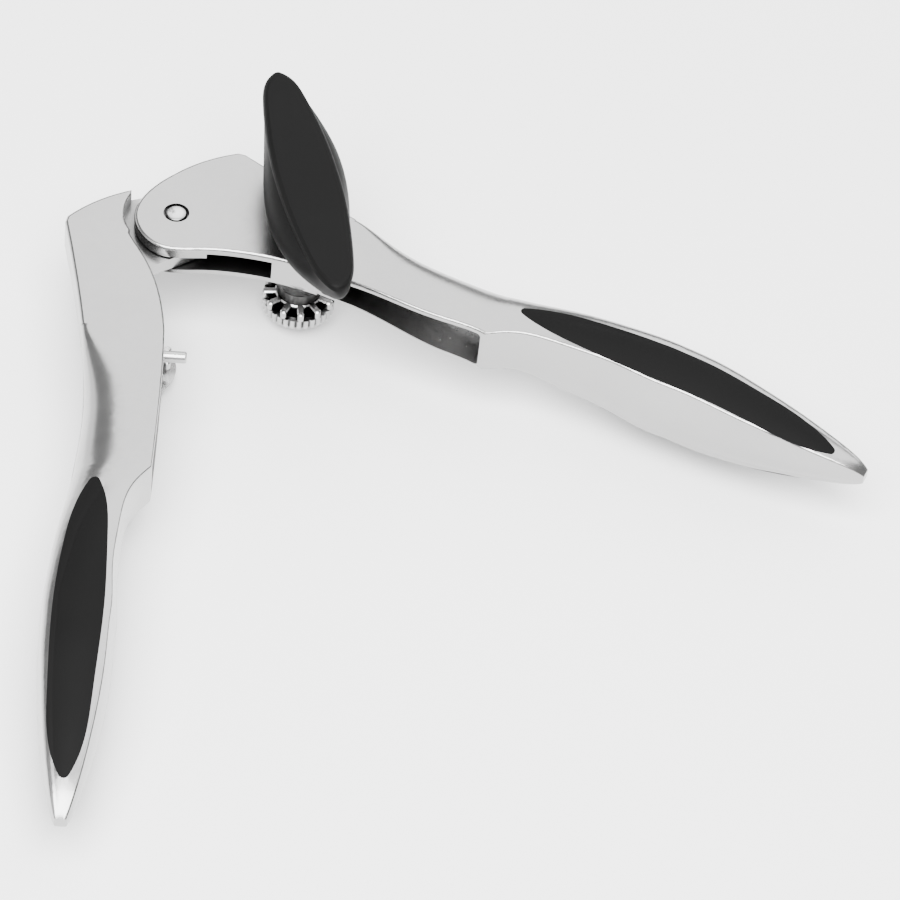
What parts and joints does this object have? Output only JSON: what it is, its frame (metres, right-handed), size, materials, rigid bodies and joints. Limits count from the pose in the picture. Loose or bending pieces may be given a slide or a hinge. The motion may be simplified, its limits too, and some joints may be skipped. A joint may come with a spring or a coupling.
{
  "type": "can_opener",
  "caption": "Manual can opener: two die-cast pincer handles with black inlays on a rivet, a leaf-shaped turning knob, gears, feed wheel and cutting wheel",
  "frame": {"origin": "Centre of the overall bounding box, at the level of the lowest point: the flat end of the cutter axle's head.", "axes": "+Z runs along the handle pivot, shaft and axle, towards the knob. The open handles lie level and point towards -Y, the knob handle on +X and the cutter handle on -X."},
  "size_m": [0.2252, 0.161, 0.049],
  "materials": {
    "die_cast": "satin",
    "steel": "polished",
    "dark_steel": "satin",
    "cutter_steel": "polished",
    "grip_rubber": "matte",
    "knob_plastic": "matte"
  },
  "bodies": {
    "cutter_handle": {"cutter_handle_casting": "die_cast", "cutter_grip_inlay_top": "grip_rubber", "cutter_grip_inlay_bottom": "grip_rubber", "cutter_axle": "dark_steel", "cutter_spacer": "dark_steel", "cutter_spring_washer": "steel", "cutter_axle_head": "steel", "locating_pin": "steel"},
    "cutter_wheel_set": {"driven_gear": "steel", "cutter_hub": "steel", "cutting_wheel": "cutter_steel"},
    "knob_handle": {"knob_handle_casting": "die_cast", "knob_grip_inlay_top": "grip_rubber", "knob_grip_inlay_bottom": "grip_rubber", "pivot_rivet": "steel", "pivot_rivet_washer": "dark_steel", "pivot_shim_upper": "dark_steel", "pivot_shim_lower": "dark_steel", "shaft_bushing_upper": "dark_steel", "shaft_bushing_lower": "dark_steel"},
    "knob_shaft": {"drive_shaft": "steel", "thrust_collar": "dark_steel", "drive_gear": "steel", "feed_wheel": "steel", "feed_wheel_rivet_head": "steel", "knob_washer": "steel", "knob_core": "dark_steel", "knob_body": "knob_plastic"}
  },
  "joints": [
    {"name": "handle_hinge", "type": "hinge", "parent": "cutter_handle", "child": "knob_handle", "pos_m": [0, 0.06607, 0.0231], "axis": [0, 0, 1], "range_deg": [-65.2, 40]},
    {"name": "knob_spin", "type": "hinge", "parent": "knob_handle", "child": "knob_shaft", "pos_m": [0.02371, 0.04384, 0.0274], "axis": [0, 0, 1], "continuous": true},
    {"name": "cutter_spin", "type": "hinge", "parent": "cutter_handle", "child": "cutter_wheel_set", "pos_m": [-0.02371, 0.04384, 0.009], "axis": [0, 0, 1], "continuous": true}
  ]
}
